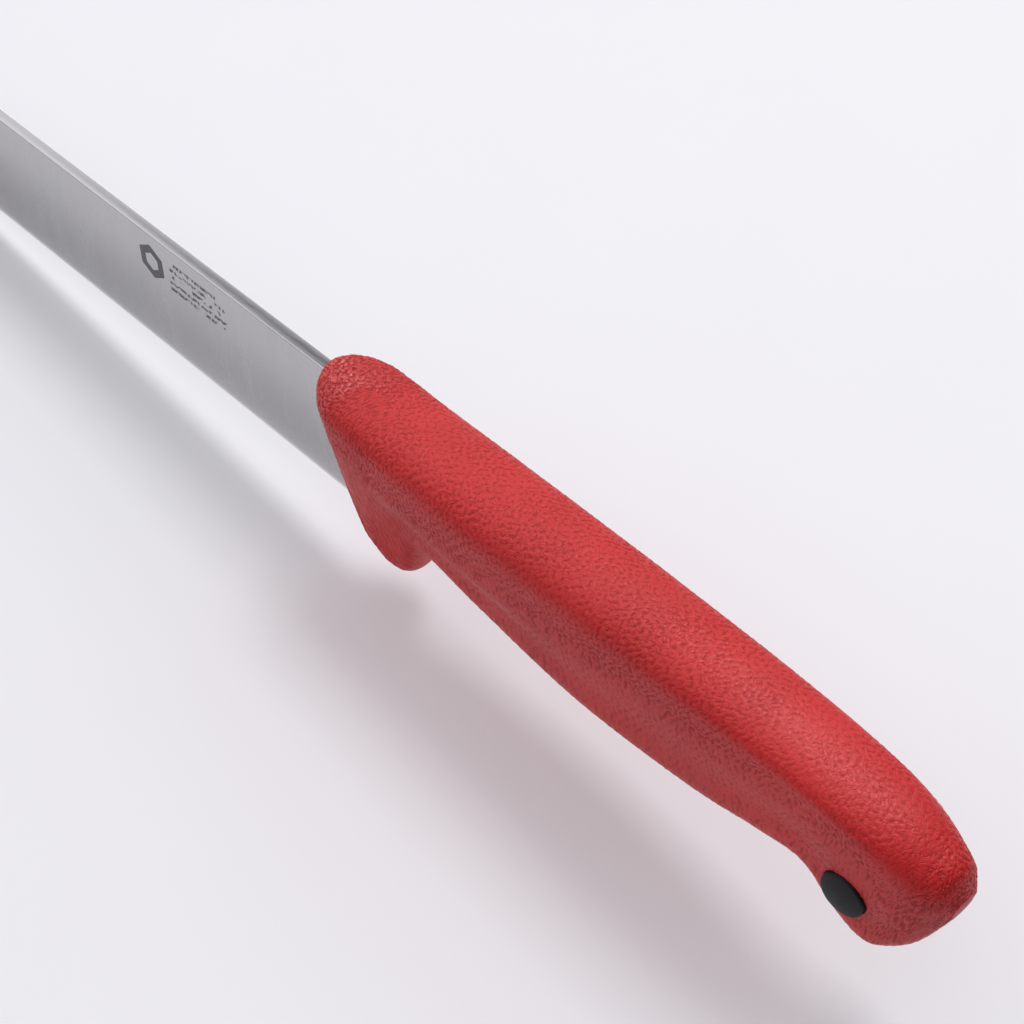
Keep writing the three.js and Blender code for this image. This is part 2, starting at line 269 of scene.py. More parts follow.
def shade(piece, degrees):
    """Smooth shading, with edges sharper than the angle kept crisp."""
    piece.data.shade_smooth()
    piece.data.set_sharp_from_angle(angle=math.radians(degrees))


def finish_piece(piece, slot, *nodes):
    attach(piece, ROOT)
    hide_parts(*nodes)


# ---------------------------------------------------------------- material nodes


class Finish:
    """A material and short ways to add nodes to it."""

    def __init__(self, name):
        self.material = bpy.data.materials.new(name)
        self.material.use_nodes = True
        self.tree = self.material.node_tree
        self.shader = self.tree.nodes["Principled BSDF"]
        self.place = self.add("ShaderNodeTexCoord").outputs["Object"]

    def add(self, kind, **settings):
        made = self.tree.nodes.new(kind)
        for key, value in settings.items():
            setattr(made, key, value)
        return made

    def feed(self, socket, value):
        """Links an output into a socket, or sets the socket to a plain value."""
        if isinstance(value, bpy.types.NodeSocket):
            self.tree.links.new(value, socket)
        else:
            socket.default_value = value

    def math(self, operation, *values, clamp=False):
        made = self.add("ShaderNodeMath", operation=operation, use_clamp=clamp)
        for socket, value in zip(made.inputs, values):
            self.feed(socket, value)
        return made.outputs[0]

    def noise(self, scale, detail=2.0, roughness=0.5, stretch=(1, 1, 1), turned_by=(0, 0, 0)):
        """Noise with so many lumps to the metre, after the place is stretched and turned."""
        moved = self.add("ShaderNodeMapping")
        self.feed(moved.inputs["Vector"], self.place)
        moved.inputs["Scale"].default_value = stretch
        moved.inputs["Rotation"].default_value = turned_by
        made = self.add("ShaderNodeTexNoise")
        self.feed(made.inputs["Vector"], moved.outputs[0])
        made.inputs["Scale"].default_value = scale
        made.inputs["Detail"].default_value = detail
        made.inputs["Roughness"].default_value = roughness
        return made.outputs["Fac"]

    def band(self, value, low, high, start=0.0, end=1.0):
        """The value moved from the range low to high onto start to end, with soft ends."""
        made = self.add("ShaderNodeMapRange", interpolation_type="SMOOTHSTEP")
        for socket, number in zip(made.inputs, (value, low, high, start, end)):
            self.feed(socket, number)
        return made.outputs["Result"]

    def mix(self, factor, first, second):
        made = self.add("ShaderNodeMix", data_type="RGBA")
        self.feed(made.inputs[0], factor)
        self.feed(made.inputs[6], first)
        self.feed(made.inputs[7], second)
        return made.outputs[2]

    def bump(self, height, distance, strength=1.0, below=None):
        made = self.add("ShaderNodeBump")
        made.inputs["Strength"].default_value = strength
        made.inputs["Distance"].default_value = distance
        self.feed(made.inputs["Height"], height)
        if below is not None:
            self.feed(made.inputs["Normal"], below)
        return made.outputs[0]

    def axis(self, index):
        made = self.add("ShaderNodeSeparateXYZ")
        self.feed(made.inputs[0], self.place)
        return made.outputs[index]


def opaque(rgb):
    return (*rgb, 1.0)


# ---------------------------------------------------------------- the grip

Rib = namedtuple("Rib", "top_x top_z bottom_x bottom_z width crease foot")


def ribs(sizes):
    """The grip's ribs from the blade to the butt. Each has its two ends on the mid-plane, as distance from
    the front of the handle and height against the spine, its share of the full half-width, the height of
    the crease, and the half-width at the foot as a share of that of the back. Lengths are in millimetres."""
    total = (BUTT_X - FRONT_X) / MM
    rise = sizes.rise / MM
    belly = -sizes.belly / MM
    hook = -sizes.hook / MM
    slant = sizes.slant / MM
    guard = (GUARD_Z - SPINE_Z) / MM
    return [
        Rib(2.2, 0.8, slant, guard + 4.6, 0, -10, 1),
        Rib(2.9, 1.9, slant + 1.8, guard + 2.8, 0.28, -8, 1.1),
        Rib(4.7, rise + 0.4, slant + 4.4, guard + 1, 0.58, -6, 0.84),
        Rib(8.2, rise + 0.3, slant + 7.8, guard, 0.86, -5.2, 0.68),
        Rib(13.5, rise, slant + 10.4, guard + 1.2, 0.94, -5.8, 0.6),
        Rib(19.5, rise, slant + 13.2, belly + 4.1, 0.96, -7, 0.6),
        Rib(27, rise, 32, belly + 4.8, 0.98, -7.6, 0.64),
        Rib(0.31 * total, rise, 0.32 * total, belly + 3.1, 1, -8, 0.7),
        Rib(0.49 * total, rise, 0.49 * total, belly + 0.4, 0.96, -7.4, 0.78),
        Rib(0.66 * total, rise - 0.5, 0.66 * total, belly + 1.4, 0.89, -6.2, 0.8),
        Rib(total - 31, rise - 1.2, total - 32, belly + 3.8, 0.82, -5.4, 0.8),
        Rib(total - 23, rise - 1.9, total - 23.5, belly + 4.6, 0.78, -5.6, 0.8),
        Rib(total - 16, rise - 2.8, total - 17, hook + 2.2, 0.76, -7, 0.8),
        Rib(total - 10, rise - 3.9, total - 11.5, hook, 0.7, -10, 0.8),
        Rib(total - 5.6, rise - 5.5, total - 7.1, hook + 3.5, 0.61, -14, 0.85),
        Rib(total - 1.9, rise - 7.3, total - 3.7, hook + 8.4, 0.4, -16, 0.86),
        Rib(total, rise - 11.4, total - 0.5, hook + 16.6, 0.04, -12.5, 0.9),
    ]


LAST_RIB = 16
CAP_RISE = 0.3 * MM  # of the dome that closes the butt
CAP_SHARES = (0.84, 0.67, 0.5, 0.33, 0.16)  # sizes of the dome's rings against the last rib
# Rings of the flat land that the blade enters, in millimetres in from its rim and back from the first rib
LAND_RINGS = ((1.5, 0.12), (1.1, 0.1), (0.7, 0.05), (0.35, -0.02), (0.12, -0.05))
BOW_RIBS = 5  # over which the front face's bulge dies out
CORE_FIRST, CORE_LAST = 3, 14  # ribs that the core reaches
POCKET_SPACING = 2 * MM  # between the pocket's rings
END_GAP = 0.6 * MM  # that the pocket runs on past those ribs at each end
SLOT_GAP = 0.08 * MM  # between the blade and the slot that it enters
BORE_GAP = 0.12 * MM  # between a plug's head and its bore
ROUND_SIDES = 96  # of the plugs and their bore
# How finely each arc of a rib is divided: back, shoulder, side, foot
ARC_STEPS = (40, 14, 19, 12)
COARSE_STEPS = (8, 4, 6, 5)


def through(values, places):
    """The values at places between the ribs, on a smooth curve through all of them."""
    values = np.asarray(values, float)
    last = len(values) - 1
    index = np.minimum(np.floor(places).astype(int), last - 1)
    f = places - index
    before, here, there, beyond = (values[np.clip(index + k, 0, last)] for k in (-1, 0, 1, 2))
    slope_in = (there - before) / 2
    slope_out = (beyond - here) / 2
    rise = there - here
    bend = 3 * rise - 2 * slope_in - slope_out
    twist = slope_in + slope_out - 2 * rise
    return here + f * slope_in + f**2 * bend + f**3 * twist


def arc(corners, steps, skip_first):
    """Points on a cubic curve whose four corners are given for every rib: widths and depths."""
    t = np.linspace(0, 1, steps + 1)[1 if skip_first else 0 :]
    weights = ((1 - t) ** 3, 3 * t * (1 - t) ** 2, 3 * t**2 * (1 - t), t**3)
    widths = sum(np.outer(corner[0], w) for corner, w in zip(corners, weights))
    depths = sum(np.outer(corner[1], w) for corner, w in zip(corners, weights))
    return widths, depths


def grip_rings(sizes, places, inset, steps):
    """Rings of the grip's skin, drawn in by inset, in metres. Also how far round each column lies: 0 at
    the top, 2 at the crease and 4 at the bottom."""
    table = {name: [getattr(rib, name) for rib in ribs(sizes)] for name in Rib._fields}
    top_x, top_z, bottom_x, bottom_z, share_of, crease_z, foot_share = (
        through(table[name], places) for name in Rib._fields
    )
    inset = inset / MM
    width = sizes.width / MM
    land = sizes.land / MM
    down_x, down_z = bottom_x - top_x, bottom_z - top_z
    full = np.hypot(down_x, down_z)
    height = full - 2 * inset
    down_x, down_z = down_x / full, down_z / full
    top_x, top_z = top_x + down_x * inset, top_z + down_z * inset
    back = land + share_of * (width / 2 - land) - inset
    waist = back - sizes.crease_pull / MM * np.minimum(1, back / width)
    foot = back * foot_share
    crease = np.minimum((crease_z - top_z) / down_z, 0.6 * height)
    fillet = np.minimum(foot, 0.3 * height)
    zero = np.zeros_like(back)
    arcs = [
        [(zero, zero), (back * 0.55, zero), (back, crease * 0.18), (back, crease * 0.58)],
        [(back, crease * 0.58), (back, crease * 0.8), (waist, crease * 0.86), (waist, crease)],
        [(waist, crease), (waist, crease + fillet), (foot, height - 2 * fillet), (foot, height - fillet)],
        [(foot, height - fillet), (foot, height - 0.4 * fillet), (foot * 0.6, height), (zero, height)],
    ]
    drawn = [arc(corners, n, skip_first=k > 0) for k, (corners, n) in enumerate(zip(arcs, steps))]
    widths = np.concatenate([d[0] for d in drawn], axis=1)
    depths = np.concatenate([d[1] for d in drawn], axis=1)
    column = np.concatenate([k + np.arange(0 if k == 0 else 1, n + 1) / n for k, n in enumerate(steps)])
    bow = sizes.bow / MM * np.maximum(0, 1 - places / BOW_RIBS)
    x = top_x[:, None] + down_x[:, None] * depths - bow[:, None] * np.sin(math.pi * depths / height[:, None])
    z = top_z[:, None] + down_z[:, None] * depths
    right = np.stack([FRONT_X + x * MM, widths * MM, SPINE_Z + z * MM], axis=-1)
    left = right[:, -2:0:-1] * (1, -1, 1)
    return np.concatenate([right, left], axis=1), np.concatenate([column, column[-2:0:-1]])


def even_places(sizes, first, last, spacing):
    """Places between two ribs whose rings stand evenly apart where they stand furthest apart."""
    fine = np.linspace(first, last, 3000)
    rings, _ = grip_rings(sizes, fine, 0, COARSE_STEPS)
    steps = np.linalg.norm(np.diff(rings, axis=0), axis=-1).max(axis=1)
    along = np.concatenate([[0], np.cumsum(steps)])
    count = round(along[-1] / spacing)
    return np.interp(np.linspace(0, along[-1], count + 1), along, fine)


def random_waves(u, v, spacing, count, seed):
    """A sum of waves of nearly one length that run every way: lumps of that spacing, of unit size."""
    draw = np.random.default_rng(seed)
    total = np.zeros_like(u)
    for _ in range(count):
        angle = draw.uniform(0, math.pi)
        pitch = 2 * math.pi / (spacing * draw.uniform(0.72, 1.38))
        total += np.cos(pitch * (u * math.cos(angle) + v * math.sin(angle)) + draw.uniform(0, 2 * math.pi))
    return total / math.sqrt(count / 2)


def soft_step(value, low, high):
    t = np.clip((value - low) / (high - low), 0, 1)
    return t * t * (3 - 2 * t)


def wrinkles(sizes, rings, places, column):
    """The height of the leather texture at each point of the rings, as a share of its full depth, and its
    strength there. Zones along the grip run between numbered ribs, and zones round it between columns."""
    rows = np.linalg.norm(np.diff(rings[:, 0], axis=0), axis=-1)
    along = np.concatenate([[0], np.cumsum(rows)])[:, None] + 0 * rings[:, :, 0]
    hops = np.linalg.norm(np.diff(rings, axis=1), axis=-1)
    around = np.concatenate([np.zeros((len(rings), 1)), np.cumsum(hops, axis=1)], axis=1)
    spacing = sizes.wrinkle
    seed = sizes.seed
    sway = 0.1 * spacing
    u = along + sway * random_waves(along, around, 5 * spacing, 12, seed + 1)
    v = around + sway * random_waves(along, around, 5 * spacing, 12, seed + 2)
    lumps = random_waves(u, v, spacing, 60, seed)
    fine = random_waves(u, v, 0.66 * spacing, 50, seed + 3)
    height = 0.75 * np.tanh(1.2 * lumps) + 0.55 * np.tanh(fine)

    place = places[:, None]
    patches = 0.5 + 0.5 * np.tanh(1.2 * random_waves(along, around, 14 * spacing, 10, seed + 4))
    upper = 1 - soft_step(column, 0.7, 1.5)[None, :]
    middle = soft_step(place, 3, 6) * (1 - soft_step(place, 10, 12.5))
    nose = 1 - soft_step(place, 2.5, 5)
    rump = soft_step(place, 8.5, 10.5) * (1 - soft_step(place, 13, 15))
    calm = (1 - 0.2 * upper * middle) * (1 + 0.6 * nose) * (1 - 0.45 * upper * rump)
    below = soft_step(column, 1.85, 2.35)[None, :]
    butt = soft_step(place, 12, 14)
    side = 1 - below * (1 - 0.9 * butt) * 0.45
    front = soft_step(place, 0.5, 1.6)
    strength = calm * side * front * (0.72 + 0.28 * patches)
    strength = strength * (1 - soft_step(column, 3.5, 3.95)[None, :] * (1 - 0.5 * butt))
    return height, strength


def grip_skin(sizes):
    """The grip's outer skin with its wrinkles, closed at the blade and rounded off at the butt."""
    places = even_places(sizes, 0, LAST_RIB, sizes.row_spacing)
    rings, column = grip_rings(sizes, places, 0, ARC_STEPS)
    height, strength = wrinkles(sizes, rings, places, column)

    land = []
    for inset, back_by in LAND_RINGS:
        ring = grip_rings(sizes, np.zeros(1), inset * MM, ARC_STEPS)[0][0]
        land.append(ring + np.array([back_by * MM, 0, 0]))
    butt = []
    middle = rings[-1].mean(axis=0)
    for part in CAP_SHARES:
        ring = middle + (rings[-1] - middle) * part
        butt.append(ring + np.array([CAP_RISE * (1 - part**2), 0, 0]))
    every = np.concatenate([land, rings, butt])
    skin = closed_skin("grip_moulding", every)

    flat_height = np.zeros(len(skin.data.vertices))
    flat_strength = np.zeros_like(flat_height)
    start = len(land) * rings.shape[1]
    flat_height[start : start + height.size] = height.ravel()
    flat_strength[start : start + height.size] = strength.ravel()
    normals = np.empty(len(skin.data.vertices) * 3)
    skin.data.vertex_normals.foreach_get("vector", normals)
    moved = vertex_places(skin.data)
    moved += normals.reshape(-1, 3) * (sizes.wrinkle_depth / 2 * flat_height * flat_strength)[:, None]
    skin.data.vertices.foreach_set("co", moved.ravel())
    skin.data.update()
    return skin, moved, flat_height, flat_strength


def mark_folds(piece, places, height, strength):
    """Stores on the finished mesh how deep in a fold each point lies, for the painted shade in the folds,
    and how strong the texture is there.
    """
    tree = KDTree(len(places))
    for index, place in enumerate(places):
        tree.insert(place, index)
    tree.balance()
    mesh = piece.data
    nearest = np.array([tree.find(vertex.co)[1] for vertex in mesh.vertices])
    folds = mesh.attributes.new("fold", "FLOAT", "POINT")
    folds.data.foreach_set("value", np.clip(0.5 - 0.5 * height * strength, 0, 1)[nearest].astype(np.float32))
    texture = mesh.attributes.new("texture", "FLOAT", "POINT")
    texture.data.foreach_set("value", strength[nearest].astype(np.float32))


def core_pocket(sizes):
    """The space in the grip for the core, a little longer than the core at both ends."""
    places = even_places(sizes, CORE_FIRST, CORE_LAST, POCKET_SPACING)
    rings, _ = grip_rings(sizes, places, sizes.wall, COARSE_STEPS)
    rings[0, :, 0] -= END_GAP
    rings[-1, :, 0] += END_GAP
    return closed_skin("pocket", rings)


def blade_slot(sizes):
    """The space that the heel of the blade takes up in the grip."""
    stations = np.array([-6, 0, 7, 14, 19.2]) * MM
    return closed_skin("slot", [blade_ring(sizes, FRONT_X + x, SLOT_GAP) for x in stations])


def soft_red(sizes):
    """Soft moulded plastic with a leather texture: painted shade in the folds and grooves, ridges a little
    polished.
    """
    finish = Finish("soft red moulding")
    fold = finish.add("ShaderNodeAttribute", attribute_name="fold").outputs["Fac"]
    texture = finish.add("ShaderNodeAttribute", attribute_name="texture").outputs["Fac"]
    clouds = finish.noise(60, detail=3)
    pores = finish.noise(2600, detail=2, roughness=0.6)
    creases = finish.noise(1350, detail=0)
    ridges = finish.math("ABSOLUTE", finish.math("SUBTRACT", creases, 0.5))
    lines = finish.band(ridges, 0.0, 0.09)
    streaks = finish.noise(1500, detail=1, stretch=(0.6, 1, 1), turned_by=(0, 0.5, 0))

    # Painted shade: the folds, the thin grooves between the lines and the low parts of the side streaks get
    # the deeper red, standing in for the shade that falls in them.
    side = finish.math("SUBTRACT", 1.0, texture, clamp=True)
    depth = finish.band(fold, 0.42, 0.8)
    between = finish.math("SUBTRACT", 1.0, lines)
    groove_shade = finish.math("MULTIPLY", between, finish.math("MULTIPLY", texture, 0.4))
    painted_shade = finish.math("MAXIMUM", depth, groove_shade)
    streak_hollows = finish.band(streaks, 0.55, 0.3)
    streak_shade = finish.math("MULTIPLY", streak_hollows, finish.math("MULTIPLY", side, 0.35))
    painted_shade = finish.math("MAXIMUM", painted_shade, streak_shade)
    body = finish.mix(painted_shade, opaque(sizes.red), opaque(sizes.fold_shade_red))
    tone = finish.band(clouds, 0.3, 0.7, 0.94, 1.05)
    coloured = finish.add("ShaderNodeVectorMath", operation="SCALE")
    finish.feed(coloured.inputs[0], body)
    finish.feed(coloured.inputs["Scale"], tone)
    finish.feed(finish.shader.inputs["Base Color"], coloured.outputs[0])

    worn = finish.band(texture, 1.0, 1.45)
    gloss = finish.math("MULTIPLY_ADD", painted_shade, 0.2, 0.34)
    gloss = finish.math("MULTIPLY_ADD", worn, -0.06, gloss)
    gloss = finish.math("MULTIPLY_ADD", pores, 0.12, gloss)
    finish.feed(finish.shader.inputs["Roughness"], gloss)
    polished = finish.math("MULTIPLY", worn, finish.math("SUBTRACT", 1.0, painted_shade))
    shine = finish.math("MULTIPLY_ADD", polished, 0.45, 0.38)
    finish.feed(finish.shader.inputs["Specular IOR Level"], shine)

    below = finish.bump(finish.math("MULTIPLY", streaks, side), 0.12 * MM, 0.7)
    below = finish.bump(finish.math("MULTIPLY", lines, texture), 0.07 * MM, 0.9, below)
    finish.feed(finish.shader.inputs["Normal"], finish.bump(pores, 0.015 * MM, 0.6, below))
    return finish.material


class MESH_OT_knife_grip(bpy.types.Operator):
    """Moulds the soft grip around the core: its ribs, wrinkles, pocket, blade slot and plug bore"""

    bl_idname = "mesh.knife_grip"
    bl_label = "Grip"

    def execute(self, context):
        sizes = context.scene.knife_grip
        skin, places, height, strength = grip_skin(sizes)
        combine(skin, core_pocket(sizes), "DIFFERENCE")
        combine(skin, blade_slot(context.scene.knife_blade), "DIFFERENCE")
        reach = sizes.width
        radius = PLUG_RADIUS + BORE_GAP
        bore = [(0, -reach), (radius, -reach), (radius, reach), (0, reach)]
        combine(skin, turned("bore", bore, ROUND_SIDES, (PLUG_X, PLUG_Z), 1), "DIFFERENCE")
        mark_folds(skin, places, height, strength)
        shade(skin, 55)
        skin.data.materials.clear()
        skin.data.materials.append(soft_red(sizes))
        finish_piece(skin, "grip_red", "grip")
        return {"FINISHED"}


# ---------------------------------------------------------------- the blade

SPINE_TAPER = 0.0046  # thickness lost per unit of length towards the tip
FLAT_DRAW = 0.03  # thickness lost per unit of height down the flat of the side
FLAT_SHARE = 0.45  # part of the height that is flat
TIP_LENGTH = 62 * MM  # over which the edge sweeps up to the tip
TIP_SPINE_LENGTH = 80 * MM  # over which the spine drops to the tip
TIP_DROP = 7 * MM
TIP_BLUNT = 0.3 * MM
TIP_THINNING = 0.16
EDGE_SWEEP = 2.2
GRIND_STEPS = 14
HEEL_DEPTH = 5 * MM
TANG_TOP = 4 * MM
TANG_HEIGHT = 14 * MM
TANG_ROUND = 5 * MM
TANG_END = 110.1 * MM
KEY_HOLE = 7 * MM
KEY_HOLES = (0.34, 0.58)


def blade_spine(x):
    near = max(0.0, 1 - (x - TIP_X) / TIP_SPINE_LENGTH)
    return SPINE_Z - TIP_DROP * near**2


def blade_edge(x):
    near = max(0.0, 1 - (x - TIP_X) / TIP_LENGTH)
    return EDGE_Z + (SPINE_Z - EDGE_Z - TIP_DROP - TIP_BLUNT) * near**EDGE_SWEEP


def blade_ring(sizes, x, grow=0.0):
    """The blade's section: rounded spine corners, flat sides, a convex grind and the sharpened edge."""
    spine, edge = blade_spine(x), blade_edge(x)
    height = spine - edge
    flat_end = spine - FLAT_SHARE * height
    bevel_top = edge + min(sizes.bevel, 0.3 * height)
    taper = SPINE_TAPER * min(x - FRONT_X, 0)

    def flat_at(z):
        return (sizes.spine + taper + FLAT_DRAW * (z - SPINE_Z)) / 2

    thin = min(1.0, (sizes.foot + TIP_THINNING * height) / (2 * flat_at(spine)))
    corner = min(sizes.spine_round, 0.35 * flat_at(spine) * thin, 0.2 * height)
    half = flat_at(spine) * thin
    side = []
    for angle in np.radians((90, 67.5, 45, 22.5, 0)):
        z = spine + grow - corner * (1 - math.sin(angle))
        side.append((half - corner * (1 - math.cos(angle)), z))
    side.append((flat_at(flat_end) * thin, flat_end))
    run = flat_end - bevel_top
    foot = sizes.foot / 2 * thin
    drawn = flat_at(flat_end) * thin - FLAT_DRAW / 2 * run
    for step in range(1, GRIND_STEPS + 1):
        s = step / GRIND_STEPS
        y = flat_at(flat_end) * thin * (1 - s) + drawn * s + (foot - drawn) * s**2
        side.append((y, flat_end - run * s))
    side.append((sizes.edge / 2, edge - grow))
    right = [(x, y + grow, z) for y, z in side]
    left = [(x, -y - grow, z) for y, z in reversed(side)]
    return right + left


def front_face_x(z):
    """Where the straight line of the handle's front face lies at a height."""
    first = ribs(bpy.context.scene.knife_grip)[0]
    along = (first.top_z * MM + SPINE_Z - z) / ((first.top_z - first.bottom_z) * MM)
    return FRONT_X + (first.top_x + along * (first.bottom_x - first.top_x)) * MM


def tang_outline():
    """An outline that keeps all of the blade in front of the heel, and behind it only the rounded tang."""
    beyond = 10 * MM
    top, bottom = SPINE_Z - TANG_TOP, SPINE_Z - TANG_TOP - TANG_HEIGHT
    end = FRONT_X + TANG_END
    low, high = EDGE_Z - beyond, SPINE_Z + beyond
    outline = [(TIP_X - beyond, high), (TIP_X - beyond, low)]
    outline += [(front_face_x(low) + HEEL_DEPTH, low), (front_face_x(bottom) + HEEL_DEPTH, bottom)]
    for centre_z, first in ((bottom + TANG_ROUND, -90), (top - TANG_ROUND, 0)):
        for angle in np.radians(np.linspace(first, first + 90, 13)):
            x = end - TANG_ROUND + TANG_ROUND * math.cos(angle)
            outline.append((x, centre_z + TANG_ROUND * math.sin(angle)))
    return outline + [(front_face_x(top) + HEEL_DEPTH, top), (front_face_x(high) + HEEL_DEPTH, high)]


def blade_stations():
    """Where the blade's sections stand: close together at the tip, then evenly, then at the handle."""
    tip = TIP_X + TIP_SPINE_LENGTH * np.linspace(0, 1, 49) ** 1.6
    body = np.linspace(tip[-1], FRONT_X, 13)[1:]
    behind = FRONT_X + np.array([7, 14, 22, TANG_END / MM + 1]) * MM
    return np.concatenate([tip, body, behind])


def steel_grain(finish, sizes, low, high):
    """Roughness of ground steel: fine lines across the blade over broad, faint bands."""
    across = finish.noise(1 / sizes.grain, detail=3, roughness=0.65, stretch=(1, 1, 0.03))
    broad = finish.noise(260, detail=2, stretch=(1, 1, 0.12))
    grain = finish.math("MULTIPLY_ADD", broad, 0.35, finish.math("MULTIPLY", across, 0.65))
    finish.feed(finish.shader.inputs["Roughness"], finish.band(grain, 0.3, 0.7, low, high))
    return across, grain


def satin_steel(sizes):
    """The blade's sides, ground across, with an etched ring and rows of short dashes on the left one."""
    finish = Finish("satin steel")
    finish.shader.inputs["Metallic"].default_value = 1.0
    across, grain = steel_grain(finish, sizes, 0.2, 0.3)
    x, y, z = (finish.axis(k) for k in range(3))
    marked = finish.math("MULTIPLY", etched_mark(finish, sizes, x, z), finish.math("LESS_THAN", y, 0.0))
    darker = opaque([c * 0.9 for c in sizes.steel])
    light = finish.mix(finish.band(grain, 0.25, 0.75), darker, opaque(sizes.steel))
    body = finish.mix(marked, light, opaque(sizes.etched))
    finish.feed(finish.shader.inputs["Base Color"], body)
    ground = finish.bump(across, 0.004 * MM, 0.55)
    sunk = finish.math("MULTIPLY", marked, -1.0)
    finish.feed(finish.shader.inputs["Normal"], finish.bump(sunk, 0.01 * MM, 0.8, ground))
    return finish.material


RING_PLACE = 22 * MM  # from the near end of the mark to the middle of its ring
RING_RADIUS = 2.5 * MM
RING_HALF_WIDTH = 0.8 * MM
SLANT_COS, SLANT_SIN = 0.866, 0.5  # of the ring's slanted sides
ROWS = 5
ROW_PITCH = 1.5 * MM
ROW_HALF_HEIGHT = 0.26  # as a share of the pitch
ROWS_START, ROWS_END = 17 * MM, 3 * MM  # from the near end of the mark
RAGGED_END = 3.4 * MM  # most that a row runs on


def etched_mark(finish, sizes, x, z):
    """A generic mark: a six-sided ring, and beside it rows of dashes of uneven length."""
    near = FRONT_X - sizes.mark_x
    middle = SPINE_Z - sizes.mark_drop
    across = finish.math("SUBTRACT", x, near - RING_PLACE)
    up = finish.math("SUBTRACT", z, middle)
    beside, above = (finish.math("ABSOLUTE", value) for value in (across, up))
    half = finish.math("MULTIPLY", beside, SLANT_SIN)
    slanted = finish.math("MULTIPLY_ADD", above, SLANT_COS, half)
    from_middle = finish.math("MAXIMUM", beside, slanted)
    emblem = finish.math("COMPARE", from_middle, RING_RADIUS, RING_HALF_WIDTH)

    top = middle + ROWS / 2 * ROW_PITCH
    row = finish.math("DIVIDE", finish.math("SUBTRACT", z, top), -ROW_PITCH)
    in_row = finish.math("COMPARE", finish.math("FRACT", row), 0.5, ROW_HALF_HEIGHT)
    line = finish.math("FLOOR", row)
    inside = finish.math("COMPARE", finish.math("SUBTRACT", row, ROWS / 2), 0.0, ROWS / 2)
    strokes = finish.math("GREATER_THAN", finish.noise(2100, detail=0, stretch=(1, 0, 0.4)), 0.45)
    words = finish.math("GREATER_THAN", finish.noise(500, detail=0, stretch=(1, 0, 1.3)), 0.4)
    dash = finish.math("MULTIPLY", strokes, words)
    ragged = finish.math("FRACT", finish.math("MULTIPLY", line, 0.62))
    reach = finish.math("MULTIPLY_ADD", ragged, RAGGED_END, near - ROWS_END)
    ended = finish.math("LESS_THAN", x, reach)
    span = finish.math("MULTIPLY", ended, finish.math("GREATER_THAN", x, near - ROWS_START))
    striped = finish.math("MULTIPLY", in_row, inside)
    rows = finish.math("MULTIPLY", striped, finish.math("MULTIPLY", dash, span))
    return finish.math("MAXIMUM", emblem, rows)


def ground_spine(sizes):
    """The spine, ground along its length."""
    finish = Finish("ground spine")
    finish.shader.inputs["Metallic"].default_value = 1.0
    along = finish.noise(0.8 / sizes.grain, detail=3, stretch=(0.04, 1, 1))
    finish.feed(finish.shader.inputs["Roughness"], finish.band(along, 0.3, 0.7, 0.2, 0.26))
    darker = opaque([c * 0.94 for c in sizes.steel])
    finish.feed(finish.shader.inputs["Base Color"], finish.mix(along, darker, opaque(sizes.steel)))
    finish.feed(finish.shader.inputs["Normal"], finish.bump(along, 0.002 * MM, 0.15))
    return finish.material


def honed_edge(sizes):
    """The sharpened edge, honed brighter than the sides."""
    finish = Finish("honed edge")
    finish.shader.inputs["Metallic"].default_value = 1.0
    lines = finish.noise(0.7 / sizes.grain, detail=3, stretch=(1, 1, 0.3), turned_by=(0, 0.4, 0))
    finish.feed(finish.shader.inputs["Roughness"], finish.band(lines, 0.3, 0.7, 0.14, 0.3))
    bright = opaque([min(1.0, c * 1.25) for c in sizes.steel])
    finish.feed(finish.shader.inputs["Base Color"], finish.mix(lines, opaque(sizes.steel), bright))
    finish.feed(finish.shader.inputs["Normal"], finish.bump(lines, 0.006 * MM, 0.5))
    return finish.material


SIDE, SPINE, HONED = range(3)


def assign_blade_faces(mesh, sizes):
    """Gives the spine and the sharpened edge their own finishes."""
    for face in mesh.polygons:
        x, _, z = face.center
        if face.normal.z > 0.5 and z > blade_spine(x) - sizes.bevel:
            face.material_index = SPINE
        elif x < FRONT_X + 20 * MM and z < blade_edge(x) + 0.75 * sizes.bevel:
            face.material_index = HONED
        else:
            face.material_index = SIDE


class MESH_OT_knife_blade(bpy.types.Operator):
    """Grinds the blade: its spine, sides, sharpened edge, tip and tang"""

    bl_idname = "mesh.knife_blade"
    bl_label = "Blade"

    def execute(self, context):
        sizes = context.scene.knife_blade
        blade = closed_skin("blade_steel_body", [blade_ring(sizes, x) for x in blade_stations()])
        combine(blade, prism("outline", tang_outline(), 4 * sizes.spine), "INTERSECT")
        key_z = SPINE_Z - TANG_TOP - TANG_HEIGHT / 2
        for place in KEY_HOLES:
            radius = KEY_HOLE / 2
            profile = [(0, -sizes.spine), (radius, -sizes.spine), (radius, sizes.spine), (0, sizes.spine)]
            key_x = FRONT_X + place * (BUTT_X - FRONT_X)
            combine(blade, turned("key_hole", profile, 64, (key_x, key_z), 1), "DIFFERENCE")
        shade(blade, 14)
        blade.data.materials.clear()
        for made in (satin_steel(sizes), ground_spine(sizes), honed_edge(sizes)):
            blade.data.materials.append(made)
        assign_blade_faces(blade.data, sizes)
        finish_piece(blade, "blade_steel", "blade")
        return {"FINISHED"}


# ---------------------------------------------------------------- the plugs and the core


